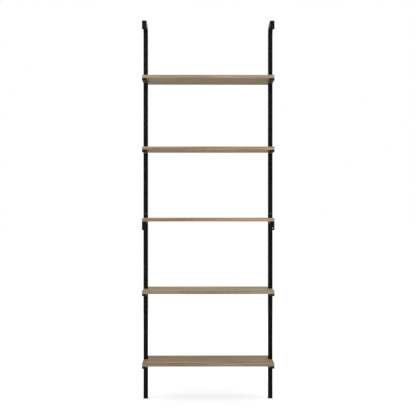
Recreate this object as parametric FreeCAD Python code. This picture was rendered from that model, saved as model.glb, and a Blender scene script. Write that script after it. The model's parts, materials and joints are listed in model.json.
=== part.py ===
import FreeCAD, Part
import math
import os

# Ladder shelf: two bent square-tube posts, fixed to the wall at their tops and at half height,
# carry five boards on arms that reach back to the wall.
# X runs across, Y from the wall (-Y) to the room (+Y), and Z up. The origin is on the floor,
# midway across and midway between the wall and the boards' room edge. Millimetres throughout.

Vector = FreeCAD.Vector

# Overall
overall_width = 640.0         # over the boards' ends and over the posts' outer faces
overall_depth = 300.0         # from the wall to the boards' room edge
post_setback = 150.0          # from the wall to the posts' rear faces

# Boards
board_thickness = 16.0
board_edge_radius = 0.8       # of the trimmed edge strip
first_board_top = 195.0       # above the floor
lower_pitch = 350.5           # from board to board, below the middle board
upper_pitch = 346.0           # from board to board, above the middle board
top_headroom = 262.0          # from the highest board to the top of the bent tubes
notch_clearance = 0.5         # between a board's notch and the post in it

# Post tubes
tube_side = 22.0
tube_wall = 1.5
tube_corner_radius = 2.0
bend_radius = 45.0            # to the tube's centreline

# Shelf arms
arm_height = 10.0
arm_wall = 1.2
arm_corner_radius = 1.5
plug_lip = 2.0                # plastic that shows at an arm's open end
plug_depth = 12.0             # plastic inside the arm
plug_clearance = 0.1

# Wall plates
plate_height = 42.0
plate_thickness = 3.0
plate_corner_radius = 1.0
plate_edge_radius = 0.4       # of the sheared edges
wall_hole_radius = 3.5
wall_hole_rise = 11.0         # from a plate's lower edge to its hole

# Joint between the lower and upper posts, inside the middle board's notch
sleeve_reach = 45.0           # into each post
sleeve_wall = 1.5
sleeve_clearance = 0.15
sleeve_corner_radius = 1.0
joint_screw_rise = 20.0       # above the middle board's top
joint_screw_radius = 3.0
joint_head_radius = 5.2
joint_head_height = 3.0
joint_screw_grip = 9.0
hex_socket_width = 4.0

# Board screws, driven up through an arm
board_screw_radius = 2.0
board_screw_bite = 12.0       # into the board
board_screw_inset = 35.0      # from each end of the arm
board_head_radius = 4.2
board_head_height = 2.4
cross_slot_length = 4.6
cross_slot_width = 1.1
screw_clearance = 0.2         # round a screw in the metal it passes through
thread_clearance = 0.1        # round a screw in what it is driven into

# Feet
foot_height = 9.0
foot_plug_depth = 18.0
foot_clearance = 0.15
foot_edge_radius = 1.5

# Screw heads, as shares of their height or radius
head_rim_share = 0.35         # the height of the straight rim
head_shoulder_radius = 0.72   # where the dome bends over
head_shoulder_height = 0.86
cross_slot_floor = 0.4        # the height of the cross slot's floor
screw_tip_share = 0.3         # the blunt end of a board screw's tip

# Working values
overcut = 1.0                 # how far a cutting shape passes the surface it cuts
smallest_radius = 0.4         # of a tube's inside corner
along_an_axis = 0.9           # a direction's share of an axis that counts as along it
same_height = 1e-6

# Places that follow from the sizes above
wall_y = -overall_depth / 2
room_y = overall_depth / 2
post_rear_y = wall_y + post_setback
post_front_y = post_rear_y + tube_side
post_centre_x = overall_width / 2 - tube_side / 2
post_centre_y = post_rear_y + tube_side / 2
board_tops = [
    first_board_top,
    first_board_top + lower_pitch,
    first_board_top + 2 * lower_pitch,
    first_board_top + 2 * lower_pitch + upper_pitch,
    first_board_top + 2 * lower_pitch + 2 * upper_pitch,
]
middle_board = 2              # counted from the lowest, which is 0
overall_height = board_tops[-1] + top_headroom
joint_z = board_tops[middle_board] - board_thickness / 2
sides = {"left": -1, "right": 1}


def box_between(low, high):
    """A box from its low corner to its high corner."""
    size = Vector(*high).sub(Vector(*low))
    return Part.makeBox(size.x, size.y, size.z, Vector(*low))


def edges_along(shape, axis):
    """The straight edges of a shape that run along one axis."""
    edges = []
    for edge in shape.Edges:
        direction = edge.tangentAt(edge.FirstParameter)
        if abs(getattr(direction, axis)) > along_an_axis:
            edges.append(edge)
    return edges


def rounded_bar(size_x, size_y, length, radius):
    """A bar along +Z from the origin, centred on Z, with its four long edges rounded."""
    bar = Part.makeBox(size_x, size_y, length, Vector(-size_x / 2, -size_y / 2, 0))
    return bar.makeFillet(radius, edges_along(bar, "z"))


def inner_radius(outer_radius, wall):
    """The inside corner radius of a tube that was bent from strip of this wall."""
    return max(outer_radius - wall, smallest_radius)


def square_tube(side, wall, length, radius):
    """A square tube along +Z from the origin."""
    bore = side - 2 * wall
    outside = rounded_bar(side, side, length, radius)
    return outside.cut(rounded_bar(bore, bore, length, inner_radius(radius, wall)))


def along_y(shape, start):
    """Turns a shape that runs along +Z so that it runs along +Y from the start point."""
    turned = shape.copy()
    turned.rotate(Vector(0, 0, 0), Vector(1, 0, 0), -90)
    turned.translate(start)
    return turned


def end_face(shape, z):
    """The flat face of a shape at the height z."""
    level_faces = [face for face in shape.Faces if face.BoundBox.ZLength < same_height]
    return min(level_faces, key=lambda face: abs(face.CenterOfMass.z - z))


def bar_with_bend(side, radius, bottom_z):
    """A solid square bar from bottom_z up, round the bend and back to the wall plate."""
    top_z = overall_height - tube_side / 2
    bend_start_z = top_z - bend_radius
    upright = rounded_bar(side, side, bend_start_z - bottom_z, radius)
    upright.translate(Vector(0, post_centre_y, bottom_z))
    bend_axis_y = post_centre_y - bend_radius
    bend = end_face(upright, bend_start_z).revolve(
        Vector(0, bend_axis_y, bend_start_z), Vector(1, 0, 0), 90
    )
    run_length = bend_axis_y - (wall_y + plate_thickness)
    run = along_y(
        rounded_bar(side, side, run_length, radius),
        Vector(0, wall_y + plate_thickness, top_z),
    )
    return upright.fuse([bend, run]).removeSplitter()


def make_upper_post(side_sign):
    """The bent tube from the joint to the top wall plate, with its joint screw's hole."""
    bore = tube_side - 2 * tube_wall
    outside = bar_with_bend(tube_side, tube_corner_radius, joint_z)
    inside = bar_with_bend(bore, inner_radius(tube_corner_radius, tube_wall), joint_z)
    post = outside.cut(inside)
    post.translate(Vector(side_sign * post_centre_x, 0, 0))
    return post.cut(joint_screw_hole(side_sign, joint_screw_radius + screw_clearance))


def make_lower_post(side_sign):
    """The straight tube from the foot to the joint."""
    post = square_tube(tube_side, tube_wall, joint_z - foot_height, tube_corner_radius)
    post.translate(Vector(side_sign * post_centre_x, post_centre_y, foot_height))
    return post


def joint_screw_hole(side_sign, radius):
    """A drill from the rear through the rear walls of the post and the sleeve."""
    height = board_tops[middle_board] + joint_screw_rise
    start = Vector(side_sign * post_centre_x, post_rear_y - overcut, height)
    return Part.makeCylinder(radius, tube_side / 2 + overcut, start, Vector(0, 1, 0))


def make_joint_sleeve(side_sign):
    """The square sleeve that joins the lower and upper posts from inside."""
    side = tube_side - 2 * tube_wall - 2 * sleeve_clearance
    sleeve = square_tube(side, sleeve_wall, 2 * sleeve_reach, sleeve_corner_radius)
    sleeve.translate(Vector(side_sign * post_centre_x, post_centre_y, joint_z - sleeve_reach))
    return sleeve.cut(joint_screw_hole(side_sign, joint_screw_radius + thread_clearance))


def domed_head(radius, height):
    """A screw head that sits on z = 0 and domes upwards."""
    rim = height * head_rim_share
    profile = Part.Wire([
        Part.LineSegment(Vector(0, 0, 0), Vector(radius, 0, 0)).toShape(),
        Part.LineSegment(Vector(radius, 0, 0), Vector(radius, 0, rim)).toShape(),
        Part.Arc(
            Vector(radius, 0, rim),
            Vector(radius * head_shoulder_radius, 0, height * head_shoulder_height),
            Vector(0, 0, height),
        ).toShape(),
        Part.LineSegment(Vector(0, 0, height), Vector(0, 0, 0)).toShape(),
    ])
    return Part.Face(profile).revolve(Vector(0, 0, 0), Vector(0, 0, 1), 360)


def make_joint_screw(side_sign):
    """A button-head machine screw with a hexagon socket, driven from the rear."""
    head = domed_head(joint_head_radius, joint_head_height)
    corner = hex_socket_width / math.sqrt(3)
    turns = [math.radians(60 * i) for i in range(6)]
    points = [Vector(corner * math.cos(turn), corner * math.sin(turn), 0) for turn in turns]
    outline = Part.Face(Part.makePolygon(points + points[:1]))
    socket = outline.extrude(Vector(0, 0, joint_head_height))
    socket.translate(Vector(0, 0, joint_head_height * head_rim_share))
    shank = Part.makeCylinder(joint_screw_radius, joint_screw_grip, Vector(0, 0, -joint_screw_grip))
    screw = head.cut(socket).fuse(shank).removeSplitter()
    screw.rotate(Vector(0, 0, 0), Vector(1, 0, 0), 90)
    height = board_tops[middle_board] + joint_screw_rise
    screw.translate(Vector(side_sign * post_centre_x, post_rear_y, height))
    return screw


def make_wall_plate(side_sign, top_z):
    """A flat plate against the wall, with a screw hole near its lower edge."""
    low = (side_sign * post_centre_x - tube_side / 2, wall_y, top_z - plate_height)
    high = (side_sign * post_centre_x + tube_side / 2, wall_y + plate_thickness, top_z)
    plate = box_between(low, high)
    plate = plate.makeFillet(plate_corner_radius, edges_along(plate, "y"))
    outlines = [edge for edge in plate.Edges if edge.BoundBox.YLength < same_height]
    plate = plate.makeFillet(plate_edge_radius, outlines)
    hole_z = top_z - plate_height + wall_hole_rise
    hole = Part.makeCylinder(
        wall_hole_radius,
        plate_thickness + 2 * overcut,
        Vector(side_sign * post_centre_x, wall_y - overcut, hole_z),
        Vector(0, 1, 0),
    )
    return plate.cut(hole)


def screw_places_y(arm_rear_y):
    """How far back each of an arm's two board screws is."""
    return [arm_rear_y + board_screw_inset, post_rear_y - board_screw_inset]


def arm_rear(level):
    """Where an arm's metal starts: at its wall plate, or at its end plug's lip."""
    if level == middle_board:
        return wall_y + plate_thickness
    return wall_y + plug_lip


def make_arm(side_sign, level):
    """A flat rectangular tube under a board's end, from the wall to the post."""
    rear_y = arm_rear(level)
    length = post_rear_y - rear_y
    outside = rounded_bar(tube_side, arm_height, length, arm_corner_radius)
    bore_x = tube_side - 2 * arm_wall
    bore_z = arm_height - 2 * arm_wall
    bore = rounded_bar(bore_x, bore_z, length, inner_radius(arm_corner_radius, arm_wall))
    under_board = board_tops[level] - board_thickness
    middle_z = under_board - arm_height / 2
    arm = along_y(outside.cut(bore), Vector(side_sign * post_centre_x, rear_y, middle_z))
    for screw_y in screw_places_y(rear_y):
        drill = Part.makeCylinder(
            board_screw_radius + screw_clearance,
            arm_height + 2 * overcut,
            Vector(side_sign * post_centre_x, screw_y, middle_z - arm_height / 2 - overcut),
        )
        arm = arm.cut(drill)
    return arm


def make_arm_plug(side_sign, level):
    """The plastic plug that closes an arm's open end at the wall."""
    lip = rounded_bar(tube_side, arm_height, plug_lip, arm_corner_radius)
    stem_x = tube_side - 2 * arm_wall - 2 * plug_clearance
    stem_z = arm_height - 2 * arm_wall - 2 * plug_clearance
    stem = rounded_bar(stem_x, stem_z, plug_depth, inner_radius(arm_corner_radius, arm_wall))
    stem.translate(Vector(0, 0, plug_lip))
    middle_z = board_tops[level] - board_thickness - arm_height / 2
    return along_y(lip.fuse(stem), Vector(side_sign * post_centre_x, wall_y, middle_z))


def make_board(level):
    """A board with a notch round each post and blind holes for its screws."""
    top = board_tops[level]
    bottom = top - board_thickness
    half = overall_width / 2
    board = box_between((-half, wall_y, bottom), (half, room_y, top))
    board = board.makeFillet(board_edge_radius, board.Edges)
    for side_sign in sides.values():
        inner_x = side_sign * (half - tube_side - notch_clearance)
        outer_x = side_sign * (half + overcut)
        notch = box_between(
            (min(inner_x, outer_x), post_rear_y - notch_clearance, bottom - overcut),
            (max(inner_x, outer_x), post_front_y + notch_clearance, top + overcut),
        )
        board = board.cut(notch)
        for screw_y in screw_places_y(arm_rear(level)):
            hole = Part.makeCylinder(
                board_screw_radius + thread_clearance,
                board_screw_bite + thread_clearance,
                Vector(side_sign * post_centre_x, screw_y, bottom),
            )
            board = board.cut(hole)
    return board


def make_board_screws(level):
    """The pan-head screws that hold one board down on its two arms."""
    length = arm_height + board_screw_bite
    head = domed_head(board_head_radius, board_head_height)
    slot_floor = board_head_height * cross_slot_floor
    for turn in (0, 90):
        bar = box_between(
            (-cross_slot_length / 2, -cross_slot_width / 2, slot_floor),
            (cross_slot_length / 2, cross_slot_width / 2, board_head_height + overcut),
        )
        bar.rotate(Vector(0, 0, 0), Vector(0, 0, 1), turn)
        head = head.cut(bar)
    tip_height = board_screw_radius
    tip_radius = board_screw_radius * screw_tip_share
    shank_length = length - tip_height
    shank = Part.makeCylinder(board_screw_radius, shank_length, Vector(0, 0, -shank_length))
    tip = Part.makeCone(tip_radius, board_screw_radius, tip_height, Vector(0, 0, -length))
    screw = head.fuse([shank, tip]).removeSplitter()
    screw.rotate(Vector(0, 0, 0), Vector(1, 0, 0), 180)
    under_arm = board_tops[level] - board_thickness - arm_height
    placed = []
    for side_sign in sides.values():
        for screw_y in screw_places_y(arm_rear(level)):
            one = screw.copy()
            one.translate(Vector(side_sign * post_centre_x, screw_y, under_arm))
            placed.append(one)
    return Part.makeCompound(placed)


def make_foot(side_sign):
    """The plastic foot pushed into a post's lower end."""
    pad = rounded_bar(tube_side, tube_side, foot_height, tube_corner_radius)
    pad = pad.makeFillet(foot_edge_radius, end_face(pad, 0).Edges)
    stem_side = tube_side - 2 * tube_wall - 2 * foot_clearance
    stem = rounded_bar(stem_side, stem_side, foot_plug_depth, sleeve_corner_radius)
    stem.translate(Vector(0, 0, foot_height))
    foot = pad.fuse(stem)
    foot.translate(Vector(side_sign * post_centre_x, post_centre_y, 0))
    return foot


def make_all():
    """Every node's name and shape."""
    shapes = {}
    for level in range(len(board_tops)):
        number = level + 1
        shapes[f"shelf_board_{number}"] = make_board(level)
        shapes[f"board_screws_{number}"] = make_board_screws(level)
    for side, side_sign in sides.items():
        shapes[f"{side}_lower_post"] = make_lower_post(side_sign)
        shapes[f"{side}_upper_post"] = make_upper_post(side_sign)
        shapes[f"{side}_joint_sleeve"] = make_joint_sleeve(side_sign)
        shapes[f"{side}_joint_screw"] = make_joint_screw(side_sign)
        shapes[f"{side}_foot"] = make_foot(side_sign)
        shapes[f"{side}_top_wall_plate"] = make_wall_plate(side_sign, overall_height)
        middle_arm_top = board_tops[middle_board] - board_thickness
        shapes[f"{side}_middle_wall_plate"] = make_wall_plate(side_sign, middle_arm_top)
        for level in range(len(board_tops)):
            number = level + 1
            shapes[f"{side}_arm_{number}"] = make_arm(side_sign, level)
            if level != middle_board:
                shapes[f"{side}_arm_plug_{number}"] = make_arm_plug(side_sign, level)
    return shapes


os.makedirs("parts", exist_ok=True)
for name, shape in make_all().items():
    shape.exportStep(f"parts/{name}.step")
    print(name, len(shape.Solids), "solid(s),", round(shape.Volume), "cubic mm, valid:", shape.isValid())
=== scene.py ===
# %% [markdown]
# # A ladder shelf in black steel and weathered oak
#
# The shelf leans on nothing: two square-tube posts stand upright, bend back at the top and are
# screwed to a wall. Boards are notched round the posts and sit on short arms.
# The construction is already packed as a fixed frame, so this lesson dresses it: finishes for
# every part, the weld beads that hold the steel together, a plain studio and a camera.

# %% Load the frame
import json
import math
import bmesh
import bpy
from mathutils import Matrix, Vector


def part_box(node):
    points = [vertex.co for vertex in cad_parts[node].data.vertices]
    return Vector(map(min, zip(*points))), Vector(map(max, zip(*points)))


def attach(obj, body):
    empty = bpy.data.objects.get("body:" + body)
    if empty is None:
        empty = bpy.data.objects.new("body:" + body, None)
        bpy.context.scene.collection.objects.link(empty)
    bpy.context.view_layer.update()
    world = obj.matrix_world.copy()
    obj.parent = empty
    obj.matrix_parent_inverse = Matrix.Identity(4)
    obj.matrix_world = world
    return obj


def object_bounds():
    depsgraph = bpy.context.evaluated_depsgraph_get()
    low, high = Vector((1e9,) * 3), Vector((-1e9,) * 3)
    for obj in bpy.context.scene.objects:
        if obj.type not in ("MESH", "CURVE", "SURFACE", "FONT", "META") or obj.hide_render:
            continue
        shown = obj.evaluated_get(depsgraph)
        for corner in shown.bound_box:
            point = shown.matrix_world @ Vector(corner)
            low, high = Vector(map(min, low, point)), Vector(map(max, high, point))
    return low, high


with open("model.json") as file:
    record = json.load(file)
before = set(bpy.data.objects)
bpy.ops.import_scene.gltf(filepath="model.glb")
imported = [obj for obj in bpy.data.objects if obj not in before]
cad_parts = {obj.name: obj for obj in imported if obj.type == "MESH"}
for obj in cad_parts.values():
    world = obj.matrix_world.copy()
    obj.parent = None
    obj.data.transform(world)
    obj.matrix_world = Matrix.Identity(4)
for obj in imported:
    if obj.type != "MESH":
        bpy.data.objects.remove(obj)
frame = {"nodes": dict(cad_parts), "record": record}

cad_low, cad_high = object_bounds()
nodes = frame["nodes"]
record = frame["record"]
print(len(nodes), "parts, overall", [round(v, 3) for v in cad_high - cad_low], "metres")

# %% [markdown]
# ## Places that the frame already knows
#
# Nothing is measured by hand here. The tube's width is the width of a lower post, and the wall is
# where the construction ends at the back, so the dressing still fits when the construction changes.

# %% Read sizes from the parts
SIDES = ("left", "right")
BOARD_NUMBERS = range(1, 6)
MIDDLE_BOARD = 3
post_low, post_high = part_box("left_lower_post")
tube_side = post_high.x - post_low.x
wall_y = cad_low.y
setback = post_low.y - wall_y
print("tube", round(tube_side * 1000, 1), "mm, posts", round(setback * 1000), "mm off the wall")

# %% [markdown]
# ## Helpers for shader trees
#
# A shader tree is easier to read as a list of steps than as a web of boxes. `add` makes one node and
# plugs its inputs in the same line: a socket is linked, and a plain value is written on the node.
# `calc` is one step of arithmetic, and `blend` mixes two colours.

# %% Shader helpers
def plug(tree, socket, value):
    """Links a socket to another, or writes a plain value on it."""
    if isinstance(value, bpy.types.NodeSocket):
        tree.links.new(value, socket)
    else:
        socket.default_value = value


def add(tree, kind, inputs=None, **settings):
    """Adds one shader node, with its properties and inputs."""
    made = tree.nodes.new("ShaderNode" + kind)
    for key, value in settings.items():
        setattr(made, key, value)
    for key, value in (inputs or {}).items():
        plug(tree, made.inputs[key], value)
    return made


def calc(tree, operation, *values, clamp=False):
    """One step of arithmetic."""
    made = add(tree, "Math", operation=operation, use_clamp=clamp)
    for index, value in enumerate(values):
        plug(tree, made.inputs[index], value)
    return made.outputs[0]


def blend(tree, factor, first, second, mode="MIX"):
    """Mixes two colours. Sockets 0, 6 and 7 of a Mix node are its factor and its two colours."""
    made = add(tree, "Mix", data_type="RGBA", blend_type=mode, clamp_result=True)
    for index, value in ((0, factor), (6, first), (7, second)):
        plug(tree, made.inputs[index], value)
    return made.outputs[2]


def grey_of(tree, value):
    """A grey as light as the value says."""
    return add(tree, "CombineColor", {0: value, 1: value, 2: value}).outputs[0]


def remap(tree, value, low, high, new_low=0.0, new_high=1.0):
    """Stretches low..high to new_low..new_high, and holds it there."""
    levels = {"Value": value, "From Min": low, "From Max": high, "To Min": new_low, "To Max": new_high}
    return add(tree, "MapRange", levels).outputs[0]


def noise(tree, vector, scale=1.0, detail=2.0, roughness=0.5, distortion=0.0):
    """Soft noise between 0 and 1."""
    made = add(tree, "TexNoise", {"Vector": vector, "Scale": scale, "Detail": detail})
    plug(tree, made.inputs["Roughness"], roughness)
    plug(tree, made.inputs["Distortion"], distortion)
    return made.outputs["Fac"]


def stretched(tree, vector, scale):
    """The same place, with each axis stretched on its own."""
    return add(tree, "Mapping", {"Vector": vector, "Scale": scale}).outputs[0]


def along(tree, vector, axis):
    """How far a direction or a place lies along one axis."""
    return add(tree, "SeparateXYZ", {"Vector": vector}).outputs[axis]


def surface_normal(tree):
    """The direction that the surface faces."""
    return add(tree, "NewGeometry").outputs["Normal"]


def new_group(name, inputs, outputs):
    """A node group with named sockets. Gives the tree, its incoming sockets and its output node."""
    tree = bpy.data.node_groups.new(name, "ShaderNodeTree")
    for label, (kind, value) in inputs.items():
        socket = tree.interface.new_socket(label, in_out="INPUT", socket_type="NodeSocket" + kind)
        socket.default_value = value
    for label, kind in outputs.items():
        tree.interface.new_socket(label, in_out="OUTPUT", socket_type="NodeSocket" + kind)
    return tree, tree.nodes.new("NodeGroupInput").outputs, tree.nodes.new("NodeGroupOutput").inputs


def place_group(tree, group, values):
    """Puts a group into a tree with its own values."""
    made = add(tree, "Group", node_tree=group)
    for label, value in values.items():
        plug(tree, made.inputs[label], value)
    return made.outputs


print("helpers ready")

# %% [markdown]
# ## Where a part is rounded
#
# Rubbed and thin spots of a finish lie on the edges. The rounded edges of this shelf are real
# geometry, and all its flat faces point along an axis, so a normal that points along no axis marks an
# edge. A painted mask would do the same, but this one follows every change of the construction.
# A bent tube also turns its flat faces through every direction between up and back, so the tube has
# its own mask, which only looks at how far a normal has turned sideways.

# %% Group: rounded edges
EDGE_BEGINS = 0.98            # how squarely a normal points along an axis where an edge begins
EDGE_FULL = 0.75              # and where it counts as fully rounded


def build_edge_group():
    """Masks of the rounded edges, from the direction that a surface faces."""
    tree, _, out = new_group("rounded_edges", {}, {"Any Edge": "Float", "Tube Edge": "Float"})
    normal = surface_normal(tree)
    x, y, z = (calc(tree, "ABSOLUTE", along(tree, normal, axis)) for axis in "XYZ")
    most = calc(tree, "MAXIMUM", x, calc(tree, "MAXIMUM", y, z))
    across = calc(tree, "SQRT", calc(tree, "SUBTRACT", 1.0, calc(tree, "MULTIPLY", x, x), clamp=True))
    plug(tree, out["Any Edge"], remap(tree, most, EDGE_BEGINS, EDGE_FULL))
    plug(tree, out["Tube Edge"], remap(tree, calc(tree, "MAXIMUM", x, across), EDGE_BEGINS, EDGE_FULL))
    return tree


edge_group = build_edge_group()
print(edge_group.name, [s.name for s in edge_group.interface.items_tree])

# %% [markdown]
# ## Speckle: powder coat, moulded plastic and plated screws
#
# Powder coat is a plastic powder baked on to steel. It flows into a skin with a fine dimple, called
# orange peel, and a slower unevenness under it. Moulded plastic has a finer, sandier skin. Both are
# the same two layers of noise at other scales, so they share one group.

# %% Group: speckle
SPECK_COARSENESS = 0.55       # the scale of the specks, as a share of the fine scale
SPECK_LEVELS = (0.62, 0.74)   # the noise in which a speck begins and is full


def build_speckle_group():
    """A fine dimpled skin over a slow unevenness."""
    inputs = {
        "Fine Scale": ("Float", 900.0),
        "Slow Scale": ("Float", 14.0),
        "Fine Share": ("Float", 0.7),
    }
    outputs = {"Height": "Float", "Shade": "Float", "Speck": "Float"}
    tree, source, out = new_group("speckle", inputs, outputs)
    place = add(tree, "TexCoord").outputs["Object"]
    fine = noise(tree, place, source["Fine Scale"], detail=3.0, roughness=0.6)
    slow = noise(tree, place, source["Slow Scale"], detail=3.0)
    speck_scale = calc(tree, "MULTIPLY", source["Fine Scale"], SPECK_COARSENESS)
    specks = noise(tree, place, speck_scale, detail=1.0)
    share = source["Fine Share"]
    mixed = calc(
        tree, "ADD",
        calc(tree, "MULTIPLY", fine, share),
        calc(tree, "MULTIPLY", slow, calc(tree, "SUBTRACT", 1.0, share)),
    )
    plug(tree, out["Height"], mixed)
    plug(tree, out["Shade"], slow)
    plug(tree, out["Speck"], remap(tree, specks, *SPECK_LEVELS))
    return tree


speckle_group = build_speckle_group()
print(speckle_group.name, [s.name for s in speckle_group.interface.items_tree])

# %% [markdown]
# ## Weathered oak laminate
#
# The boards are chipboard under a printed oak film, so the figure runs the long way on every face and
# turns with the edge strip at the ends. A scanned picture of wood is the usual way to make it. Noise
# needs no picture, is laid out in metres and never repeats, so it is used here.
#
# Flat-sawn oak shows five things, from large to small: slow patches of warm and grey, growth lines
# that run in long flames, soft streaks between them, fine hairs, and pores, which are short dark
# dashes. Each is noise, stretched along the board. First comes the place to look it up.

# %% Where the grain runs
SQUARE_ON = 0.8               # a normal that points this far along an axis counts as facing it
CUT_STEP = (3.7, 1.3, 2.1)    # how far apart two cuts of the roll lie


def faces_along(tree, axis):
    """1 where the surface faces along an axis, either way, and 0 elsewhere."""
    reach = calc(tree, "ABSOLUTE", along(tree, surface_normal(tree), axis))
    return calc(tree, "GREATER_THAN", reach, SQUARE_ON)


def grain_place(tree, cut):
    """A place in the wood: X runs along the grain, on the faces and on the strips at the ends."""
    place = add(tree, "TexCoord").outputs["Object"]
    axes = add(tree, "SeparateXYZ", {"Vector": place}).outputs
    turned = add(tree, "CombineXYZ", {"X": axes["Y"], "Y": axes["X"], "Z": axes["Z"]}).outputs[0]
    is_end = faces_along(tree, "X")
    chosen = add(tree, "Mix", data_type="VECTOR")
    for index, value in ((0, is_end), (4, place), (5, turned)):
        plug(tree, chosen.inputs[index], value)
    offset = add(tree, "VectorMath", {0: CUT_STEP, "Scale": cut}, operation="SCALE").outputs[0]
    return add(tree, "VectorMath", {0: chosen.outputs[1], 1: offset}).outputs[0]


print("grain turns where a normal passes", SQUARE_ON)

# %% [markdown]
# Then come the five layers. The first number of each stretch is along the grain and the other two
# are across it, so their ratio is how long and thin the marks are.

# %% The layers of the figure
PATCH_STRETCH = (1.1, 5.0, 5.0)
STREAK_STRETCH = (2.4, 58.0, 58.0)
FLAME_STRETCH = (0.9, 8.0, 8.0)
HAIR_STRETCH = (9.0, 330.0, 330.0)
PORE_STRETCH = (38.0, 1100.0, 1100.0)
LINES_IN_A_FLAME = 13.0
PORE_LEVELS = (0.60, 0.72)    # the noise in which a pore begins and is full


def oak_layers(tree, wood):
    """The five layers of the figure, each between 0 and 1."""
    streak_place = stretched(tree, wood, STREAK_STRETCH)
    streaks = noise(tree, streak_place, detail=5.0, roughness=0.62, distortion=0.4)
    flames = noise(tree, stretched(tree, wood, FLAME_STRETCH), detail=1.5, distortion=0.25)
    pores = noise(tree, stretched(tree, wood, PORE_STRETCH), detail=1.0)
    return {
        "patches": noise(tree, stretched(tree, wood, PATCH_STRETCH)),
        "streaks": streaks,
        "lines": calc(tree, "PINGPONG", calc(tree, "MULTIPLY", flames, LINES_IN_A_FLAME), 1.0),
        "hairs": noise(tree, stretched(tree, wood, HAIR_STRETCH), detail=3.0, roughness=0.65),
        "pores": remap(tree, pores, *PORE_LEVELS),
    }


print("layers along the grain:", PATCH_STRETCH[0], STREAK_STRETCH[0], HAIR_STRETCH[0], PORE_STRETCH[0])

# %% [markdown]
# Last, the layers are laid over each other. Each only adds or takes away a little colour. The grey
# bloom keeps the streaks under it, because weathering greys wood and doesn't hide its figure.

# %% Group: oak figure
GROWTH_SHARE = 0.45           # how much of the dark wood a growth line brings
STREAK_LEVELS = (0.34, 0.66)
BLOOM_LEVELS = (0.32, 0.60)
BLOOM_SHADES = (0.78, 1.15)   # the bloom over dark and over light streaks
HAIR_SHADES = (0.80, 1.14)
PORE_SHADE = 0.62             # what a pore leaves of the film's colour
FILM_ROUGHNESS = (0.66, 0.58)
PORE_ROUGHNESS = 0.15         # how much rougher a pore is


def build_oak_group():
    """Colour, gloss and relief of oak whose grain runs along X, or along Y on a board's ends."""
    inputs = {
        "Light Wood": ("Color", (0.5, 0.4, 0.3, 1.0)),
        "Dark Wood": ("Color", (0.3, 0.2, 0.12, 1.0)),
        "Grey Bloom And Sheen": ("Color", (0.4, 0.38, 0.33, 1.0)),
        "Bloom And Sheen Share": ("Float", 0.4),
        "Cut": ("Float", 0.0),
    }
    outputs = {"Color": "Color", "Roughness": "Float", "Height": "Float"}
    tree, source, out = new_group("oak_figure", inputs, outputs)
    layers = oak_layers(tree, grain_place(tree, source["Cut"]))
    patches, streaks, lines, hairs, pores = layers.values()

    color = blend(tree, remap(tree, streaks, *STREAK_LEVELS), source["Dark Wood"], source["Light Wood"])
    growth = calc(tree, "MULTIPLY", remap(tree, lines, 0.35, 1.0), GROWTH_SHARE)
    color = blend(tree, growth, color, source["Dark Wood"])
    streak_shade = grey_of(tree, remap(tree, streaks, *STREAK_LEVELS, *BLOOM_SHADES))
    # the grey and its share also stand in for a painted reflection: the boards grey their level faces
    # with it as well as for weathering
    weathered = blend(tree, 1.0, source["Grey Bloom And Sheen"], streak_shade, "MULTIPLY")
    bloom = calc(tree, "MULTIPLY", remap(tree, patches, *BLOOM_LEVELS), source["Bloom And Sheen Share"])
    color = blend(tree, bloom, color, weathered)
    hair_shade = remap(tree, hairs, 0.28, 0.72, *HAIR_SHADES)
    shade = calc(tree, "MULTIPLY", hair_shade, remap(tree, pores, 0.0, 1.0, 1.0, PORE_SHADE))
    plug(tree, out["Color"], blend(tree, 1.0, color, grey_of(tree, shade), "MULTIPLY"))

    rough = remap(tree, streaks, 0.3, 0.7, *FILM_ROUGHNESS)
    rough_pores = calc(tree, "MULTIPLY", pores, PORE_ROUGHNESS)
    plug(tree, out["Roughness"], calc(tree, "ADD", rough, rough_pores))
    ridges = calc(tree, "SUBTRACT", hairs, calc(tree, "MULTIPLY", pores, 0.8))
    plug(tree, out["Height"], calc(tree, "ADD", ridges, calc(tree, "MULTIPLY", lines, 0.3)))
    return tree


oak_group = build_oak_group()
print(oak_group.name, [s.name for s in oak_group.interface.items_tree])

# %% [markdown]
# ## The edge strip's seam
#
# A board's sides are closed with a glued strip of the same film. From close by its glue line shows as
# a thin darker line just inside the edges of the top and the underside. It is far too thin to cut
# into the mesh, so it is a mask. The group gets the board's own half sizes, so the line follows the
# board. It also tells the strip from the two faces, so that the faces and the strips can get their
# own painted light level and their own share of grey.

# %% Group: edge strip seam
def build_seam_group():
    """A mask of the thin line where the edge strip meets a board's faces."""
    inputs = {
        "Half Width": ("Float", 0.3),
        "Half Depth": ("Float", 0.15),
        "Strip": ("Float", 0.001),
        "Line": ("Float", 0.00025),
    }
    tree, source, out = new_group("edge_strip_seam", inputs, {"Seam": "Float", "On Strip": "Float"})
    place = add(tree, "SeparateXYZ", {"Vector": add(tree, "TexCoord").outputs["Object"]}).outputs
    gaps = []
    for axis, half in (("X", "Half Width"), ("Y", "Half Depth")):
        inset = calc(tree, "SUBTRACT", source[half], calc(tree, "ABSOLUTE", place[axis]))
        gaps.append(calc(tree, "ABSOLUTE", calc(tree, "SUBTRACT", inset, source["Strip"])))
    nearest = calc(tree, "MINIMUM", gaps[0], gaps[1])
    on_line = calc(tree, "LESS_THAN", nearest, source["Line"])
    is_level = faces_along(tree, "Z")
    plug(tree, out["Seam"], calc(tree, "MULTIPLY", on_line, is_level))
    plug(tree, out["On Strip"], calc(tree, "SUBTRACT", 1.0, is_level))
    return tree


seam_group = build_seam_group()
print(seam_group.name, [s.name for s in seam_group.interface.items_tree])

# %% [markdown]
# ## Materials
#
# Each material is one Principled shader. Values that are the same all over the part stand on the
# shader itself, and the groups bring what changes from place to place.

# %% Materials: metal and plastic
SLOW_LIFT = 1.35              # how much lighter the slow unevenness makes the colour
EDGE_SHARE = 0.6              # how much of the thin colour shows on an edge
EDGE_POLISH = 0.08            # how much smoother an edge is


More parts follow.
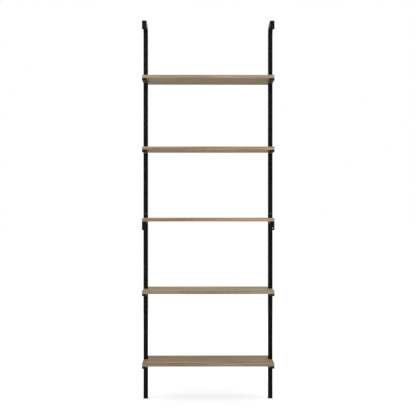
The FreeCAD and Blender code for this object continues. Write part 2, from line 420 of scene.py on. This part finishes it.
def new_material(name):
    """An empty material: its tree and its Principled shader."""
    material = bpy.data.materials.new(name)
    material.use_nodes = True
    tree = material.node_tree
    tree.nodes.clear()
    shader = add(tree, "BsdfPrincipled")
    output = add(tree, "OutputMaterial", {"Surface": shader.outputs[0]})
    output.is_active_output = True
    return material, tree, shader


def add_relief(tree, shader, height, depth, strength=1.0):
    """Raises a surface by up to this many metres, as light sees it."""
    bump = add(tree, "Bump", {"Height": height, "Distance": depth, "Strength": strength})
    tree.links.new(bump.outputs[0], shader.inputs["Normal"])


def speckled_material(name, base, edge, roughness, fine_scale, depth, speck_gain, edge_mask="Any Edge"):
    """A dimpled skin in one colour, a little lighter and smoother where it runs thin over the edges."""
    material, tree, shader = new_material(name)
    skin = place_group(tree, speckle_group, {"Fine Scale": fine_scale})
    edges = place_group(tree, edge_group, {})
    lifted = [channel * SLOW_LIFT for channel in base[:3]] + [1.0]
    color = blend(tree, remap(tree, skin["Shade"], 0.35, 0.65), base, lifted)
    color = blend(tree, calc(tree, "MULTIPLY", skin["Speck"], speck_gain), color, edge)
    color = blend(tree, calc(tree, "MULTIPLY", edges[edge_mask], EDGE_SHARE), color, edge)
    plug(tree, shader.inputs["Base Color"], color)
    rough = remap(tree, skin["Height"], 0.35, 0.65, *roughness)
    polish = calc(tree, "MULTIPLY", edges[edge_mask], EDGE_POLISH)
    plug(tree, shader.inputs["Roughness"], calc(tree, "SUBTRACT", rough, polish))
    add_relief(tree, shader, skin["Height"], depth)
    return material, shader


BLACK = (0.0036, 0.0036, 0.0039, 1.0)
BLACK_THIN = (0.016, 0.016, 0.0175, 1.0)
powder_coat, shader = speckled_material(
    "powder_coat", BLACK, BLACK_THIN, roughness=(0.42, 0.56), fine_scale=850.0, depth=0.00012,
    speck_gain=0.35, edge_mask="Tube Edge",
)
shader.inputs["Specular IOR Level"].default_value = 0.07

PLASTIC = (0.0030, 0.0030, 0.0031, 1.0)
PLASTIC_RUBBED = (0.012, 0.012, 0.0125, 1.0)
black_plastic, shader = speckled_material(
    "black_plastic", PLASTIC, PLASTIC_RUBBED, roughness=(0.62, 0.74), fine_scale=1700.0,
    depth=0.00006, speck_gain=0.2,
)
shader.inputs["Specular IOR Level"].default_value = 0.15

PLATED = (0.012, 0.012, 0.013, 1.0)
PLATED_BRIGHT = (0.060, 0.060, 0.064, 1.0)
black_screws, shader = speckled_material(
    "black_screws", PLATED, PLATED_BRIGHT, roughness=(0.30, 0.42), fine_scale=2200.0,
    depth=0.00002, speck_gain=0.15,
)
shader.inputs["Specular IOR Level"].default_value = 0.5

STEEL = (0.30, 0.30, 0.31, 1.0)
STEEL_BRIGHT = (0.48, 0.48, 0.49, 1.0)
bare_steel, shader = speckled_material(
    "bare_steel", STEEL, STEEL_BRIGHT, roughness=(0.28, 0.45), fine_scale=1300.0, depth=0.00003,
    speck_gain=0.3,
)
shader.inputs["Metallic"].default_value = 1.0
print([m.name for m in (powder_coat, black_plastic, black_screws, bare_steel)])

# %% [markdown]
# ## One cut of oak per board
#
# The film is printed from a long roll, so no two boards carry the same piece of it. Every board gets
# the same recipe with another cut from the roll. Its faces and its edge strips each get a painted light
# level, which makes the colour lighter or darker in place of how light falls on that board and side,
# and a share of grey, which is partly the weathered bloom and partly a painted reflection, such as a
# face seen at a grazing angle shows. Both are given as pairs: first the faces, then the strips.

# %% Materials: boards
LIGHT_OAK = (0.490, 0.350, 0.208, 1.0)
DARK_OAK = (0.240, 0.148, 0.080, 1.0)
GREY_BLOOM_AND_SHEEN = (0.330, 0.308, 0.236, 1.0)
GLUE_LINE = (0.07, 0.045, 0.025, 1.0)
GLUE_SHARE = 0.65             # how much of the glue's colour shows along the seam
GLUE_GROOVE = 1.5             # how deep the seam lies, against the grain's own relief
STRIP_THICKNESS = 0.001
EDGE_DARKENING = 0.22         # how much of the dark wood a rounded edge shows
GRAIN_RELIEF = 0.00010
GRAIN_STRENGTH = 0.8
# painted light and shade: each board's colour is scaled lighter or darker, the lower boards lighter
# than the top one, and the level faces apart from the strips
BOARD_PAINTED_LIGHT_LEVELS = {1: (0.84, 0.87), 2: (0.92, 1.02), 3: (1.02, 1.13), 4: (1.22, 1.17), 5: (1.13, 1.18)}
# share of grey: partly weathered bloom, partly painted reflection that greys the level faces
BOARD_BLOOMS_AND_SHEEN = {1: (0.15, 0.50), 2: (0.75, 0.15), 3: (0.45, 0.10), 4: (0.80, 0.05), 5: (0.90, 0.90)}


def board_material(number):
    """Oak laminate for one board."""
    low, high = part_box(f"shelf_board_{number}")
    material, tree, shader = new_material(f"oak_laminate_{number}")
    strips = place_group(tree, seam_group, {
        "Half Width": (high.x - low.x) / 2,
        "Half Depth": (high.y - low.y) / 2,
        "Strip": STRIP_THICKNESS,
    })
    seam, on_strip = strips["Seam"], strips["On Strip"]
    oak = place_group(tree, oak_group, {
        "Light Wood": LIGHT_OAK,
        "Dark Wood": DARK_OAK,
        "Grey Bloom And Sheen": GREY_BLOOM_AND_SHEEN,
        # partly weathering, partly painted reflection: some boards' level faces are greyed more than
        # their strips
        "Bloom And Sheen Share": remap(tree, on_strip, 0.0, 1.0, *BOARD_BLOOMS_AND_SHEEN[number]),
        "Cut": float(number),
    })
    edges = place_group(tree, edge_group, {})["Any Edge"]
    color = blend(tree, calc(tree, "MULTIPLY", seam, GLUE_SHARE), oak["Color"], GLUE_LINE)
    color = blend(tree, calc(tree, "MULTIPLY", edges, EDGE_DARKENING), color, DARK_OAK)
    # painted light and shade: the colour is scaled by the board's painted light level, one for the
    # faces and one for the strips
    painted_light_level = grey_of(tree, remap(tree, on_strip, 0.0, 1.0, *BOARD_PAINTED_LIGHT_LEVELS[number]))
    plug(tree, shader.inputs["Base Color"], blend(tree, 1.0, color, painted_light_level, "MULTIPLY"))
    plug(tree, shader.inputs["Roughness"], oak["Roughness"])
    shader.inputs["Specular IOR Level"].default_value = 0.02
    height = calc(tree, "SUBTRACT", oak["Height"], calc(tree, "MULTIPLY", seam, GLUE_GROOVE))
    add_relief(tree, shader, height, GRAIN_RELIEF, GRAIN_STRENGTH)
    return material


oak_boards = {number: board_material(number) for number in BOARD_NUMBERS}
print([m.name for m in oak_boards.values()])

# %% [markdown]
# ## Dressing the parts
#
# The shapes of the construction are right, so every part keeps its mesh and only gets a finish. The
# record says which slot each part takes.

# %% Assign finishes
FINISHES = {
    "powder_coat": powder_coat,
    "black_plastic": black_plastic,
    "black_screws": black_screws,
    "bare_steel": bare_steel,
}


def finish_for(name, slot):
    """The material of a part: boards have one each, and the rest follow their slot."""
    if slot == "oak_laminate":
        return oak_boards[int(name.rsplit("_", 1)[1])]
    return FINISHES[slot]


for row in record["subparts"]:
    part = nodes[row["node"]]
    part.data.materials.clear()
    part.data.materials.append(finish_for(row["node"], row["material_slot"]))
print("finishes on", len(record["subparts"]), "parts")

# %% [markdown]
# ## Weld beads
#
# The construction lets arms, tubes and plates meet face to face. The real ones are welded, and a
# fillet weld is easy to see from below: a bead that fills the corner, crowned a little, with a ripple
# for every dab of the torch. A bump in the finish could hint at it, but the corner would stay sharp,
# so each bead is a mesh of its own, built ring by ring. A ring is a short arc from one face to
# the other, ripples make the rings swell, and the middle of each ring lags behind its ends, which
# turns the ripples into crescents. The corner of every ring lies just inside the metal, so the bead
# grows out of it with no crack.

# %% Build one weld bead
BEAD_LEG = 0.0034             # from the corner to where the bead ends on each face
BEAD_SINK = 0.0004            # how far the bead's back lies inside the metal
BEAD_INSET = 0.002            # from the tube's side to the end of the bead
BEAD_CROWN = 0.20             # how far the arc bulges, as a share of the leg
BEAD_START = 0.08             # how full a bead already is at its very end
RIPPLE_PITCH = 0.0018
RIPPLE_DEPTH = 0.10           # as a share of the leg
RINGS_PER_RIPPLE = 6
ARC_POINTS = 8


def bead_ring(root, legs, run, place, from_end):
    """One ring of a bead: its corner, and then the arc from the first face to the second."""
    first, second = legs
    ripple = abs(math.sin(math.pi * place / RIPPLE_PITCH))
    rounded_end = math.sqrt(min(1.0, BEAD_START + from_end / BEAD_LEG))
    leg = BEAD_LEG * rounded_end * (1.0 - RIPPLE_DEPTH * (1.0 - ripple)) + BEAD_SINK
    corner = root + run * place - (first + second) * BEAD_SINK
    ring = [corner]
    for index in range(ARC_POINTS):
        share = index / (ARC_POINTS - 1)
        arch = math.sin(math.pi * share)
        point = corner + first * leg * (1.0 - share) + second * leg * share
        point += (first + second).normalized() * leg * BEAD_CROWN * arch
        ring.append(point - run * arch * RIPPLE_PITCH / 2)
    return ring


def weld_bead(name, root, legs):
    """A rippled bead across the tube's width, in the corner between two faces."""
    run = Vector((1.0, 0.0, 0.0))
    length = tube_side - 2 * BEAD_INSET
    steps = round(length / RIPPLE_PITCH * RINGS_PER_RIPPLE)
    shape = bmesh.new()
    rings = []
    for step in range(steps + 1):
        place = length * (step / steps - 0.5)
        from_end = length / 2 - abs(place)
        ring = bead_ring(root, legs, run, place, from_end)
        rings.append([shape.verts.new(point) for point in ring])
    for back, front in zip(rings, rings[1:]):
        for index in range(len(back)):
            after = (index + 1) % len(back)
            shape.faces.new((back[index], back[after], front[after], front[index]))
    shape.faces.new(rings[0])
    shape.faces.new(rings[-1])
    bmesh.ops.recalc_face_normals(shape, faces=shape.faces)
    for face in shape.faces:
        face.smooth = len(face.verts) == 4
    mesh = bpy.data.meshes.new(name)
    shape.to_mesh(mesh)
    shape.free()
    bead = bpy.data.objects.new(name, mesh)
    bpy.context.scene.collection.objects.link(bead)
    mesh.materials.append(powder_coat)
    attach(bead, "root")
    return bead


# %% [markdown]
# A side has seven beads: one where each arm's underside meets the post, one where the middle arm
# meets its wall plate, and one where the tube's underside meets the top plate.

# %% Place the beads
BACK, FRONT, DOWN = Vector((0, -1, 0)), Vector((0, 1, 0)), Vector((0, 0, -1))


def side_beads(side):
    """All the beads of one side."""
    low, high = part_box(f"{side}_lower_post")
    middle_x = (low.x + high.x) / 2
    beads = []
    for number in BOARD_NUMBERS:
        arm_low, arm_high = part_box(f"{side}_arm_{number}")
        at_post = Vector((middle_x, arm_high.y, arm_low.z))
        beads.append(weld_bead(f"{side}_arm_{number}_weld", at_post, (BACK, DOWN)))
        if number == MIDDLE_BOARD:
            at_plate = Vector((middle_x, arm_low.y, arm_low.z))
            beads.append(weld_bead(f"{side}_middle_plate_weld", at_plate, (FRONT, DOWN)))
    plate_front_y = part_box(f"{side}_top_wall_plate")[1].y
    under_tube = Vector((middle_x, plate_front_y, cad_high.z - tube_side))
    beads.append(weld_bead(f"{side}_top_plate_weld", under_tube, (FRONT, DOWN)))
    return beads


beads = [bead for side in SIDES for bead in side_beads(side)]
print(len(beads), "beads,", sum(len(bead.data.polygons) for bead in beads), "faces")

# %% [markdown]
# ## Studio: floor, light and camera
#
# The floor is a pale sheet that runs far past the object. More light would make it white, but it
# would bleach the object too. So where the floor is seen directly a little glow lifts it to white,
# the room disappears, and the object's soft shadow still darkens it.
# Its underside is clear, so that the screws and welds under the boards can be looked at from below,
# and it lies a hair lower than the feet, so that the two share no plane.

# %% Floor
FLOOR_HALF = 40.0
FLOOR_DROP = 0.0002
FLOOR_GREY = 0.70
WORLD_LEVEL = 0.68
FLOOR_SEEN = 1.005            # a touch over white, so that it doesn't round down to grey
FLOOR_LIFT = FLOOR_SEEN - FLOOR_GREY * WORLD_LEVEL


def seen_directly(tree):
    """1 for rays from the camera, or mirrored or passed on by a clear surface."""
    rays = add(tree, "LightPath").outputs
    direct = calc(tree, "MAXIMUM", rays["Is Camera Ray"], rays["Is Glossy Ray"])
    return calc(tree, "MAXIMUM", direct, rays["Is Transmission Ray"])


def build_floor():
    """A large flat sheet under the object."""
    mesh = bpy.data.meshes.new("studio_floor")
    level = cad_low.z - FLOOR_DROP
    signs = ((-1, -1), (1, -1), (1, 1), (-1, 1))
    corners = [(x * FLOOR_HALF, y * FLOOR_HALF, level) for x, y in signs]
    mesh.from_pydata(corners, [], [(0, 1, 2, 3)])
    floor = bpy.data.objects.new("studio_floor", mesh)
    bpy.context.scene.collection.objects.link(floor)
    material, tree, shader = new_material("studio_paper")
    shader.inputs["Base Color"].default_value = (FLOOR_GREY, FLOOR_GREY, FLOOR_GREY, 1.0)
    shader.inputs["Roughness"].default_value = 0.9
    shader.inputs["Specular IOR Level"].default_value = 0.0
    shader.inputs["Emission Color"].default_value = (1.0, 1.0, 1.0, 1.0)
    glow = calc(tree, "MULTIPLY", seen_directly(tree), FLOOR_LIFT)
    plug(tree, shader.inputs["Emission Strength"], glow)
    facing_up = calc(tree, "SUBTRACT", 1.0, add(tree, "NewGeometry").outputs["Backfacing"])
    plug(tree, shader.inputs["Alpha"], facing_up)
    mesh.materials.append(material)
    return floor


floor = build_floor()
print("floor", floor.name, "at", round(cad_low.z - FLOOR_DROP, 4))

# %% [markdown]
# ## Light
#
# Even light from all round shows colours as they are. The world gives most of it. Two large soft
# lamps stand high between the camera and the shelf, one to each side, so the light thins a little
# toward the floor, and a third one lights the side that faces the room.

# %% World and lamps
AIM = Vector((0.0, 0.0, 0.95))
LAMPS = {                     # place, side in metres, watts
    "key_box": ((-1.7, -2.5, 3.0), 1.8, 37.0),
    "fill_box": ((1.9, -2.2, 2.7), 2.0, 23.0),
    "room_side_box": ((0.6, 3.6, 2.8), 2.4, 50.0),
}


def build_world():
    """Soft light for the object, and plain white for the camera."""
    world = bpy.data.worlds.new("studio")
    bpy.context.scene.world = world
    world.use_nodes = True
    tree = world.node_tree
    tree.nodes.clear()
    strength = remap(tree, seen_directly(tree), 0.0, 1.0, WORLD_LEVEL, 1.0)
    sky = add(tree, "Background", {"Color": (1.0, 1.0, 1.0, 1.0), "Strength": strength})
    add(tree, "OutputWorld", {"Surface": sky.outputs[0]})


def soft_lamp(name, place, size, power):
    """A square soft box that looks at the middle of the shelf."""
    light = bpy.data.lights.new(name, "AREA")
    light.shape = "SQUARE"
    light.size = size
    light.energy = power
    lamp = bpy.data.objects.new(name, light)
    lamp.location = place
    lamp.rotation_euler = (AIM - Vector(place)).to_track_quat("-Z", "Y").to_euler()
    bpy.context.scene.collection.objects.link(lamp)
    return lamp


build_world()
lamps = [soft_lamp(name, *values) for name, values in LAMPS.items()]
print([lamp.name for lamp in lamps])

# %% [markdown]
# ## Camera
#
# The camera stands level on the wall side, five and a half metres off, at half the shelf's height
# and a hand's width to the left. It is turned toward the middle of the shelf, and a long lens keeps
# the posts parallel.

# %% Camera
CAMERA_DISTANCE = 5.50
CAMERA_SIDESTEP = 0.042
CAMERA_AIM_X = -0.0013
EYE_HEIGHT = 0.945
FIELD_AT_WALL = 2.008
SENSOR = 36.0
camera_data = bpy.data.cameras.new("camera")
camera_data.sensor_width = SENSOR
camera_data.lens = SENSOR * CAMERA_DISTANCE / FIELD_AT_WALL
camera = bpy.data.objects.new("camera", camera_data)
camera.location = (-CAMERA_SIDESTEP, wall_y - CAMERA_DISTANCE, EYE_HEIGHT)
turn = math.atan2(CAMERA_AIM_X + CAMERA_SIDESTEP, CAMERA_DISTANCE)
camera.rotation_euler = (math.radians(90.0), 0.0, -turn)
bpy.context.scene.collection.objects.link(camera)
bpy.context.scene.camera = camera
bpy.context.scene.view_settings.view_transform = "Standard"
print("lens", round(camera_data.lens, 1), "mm")
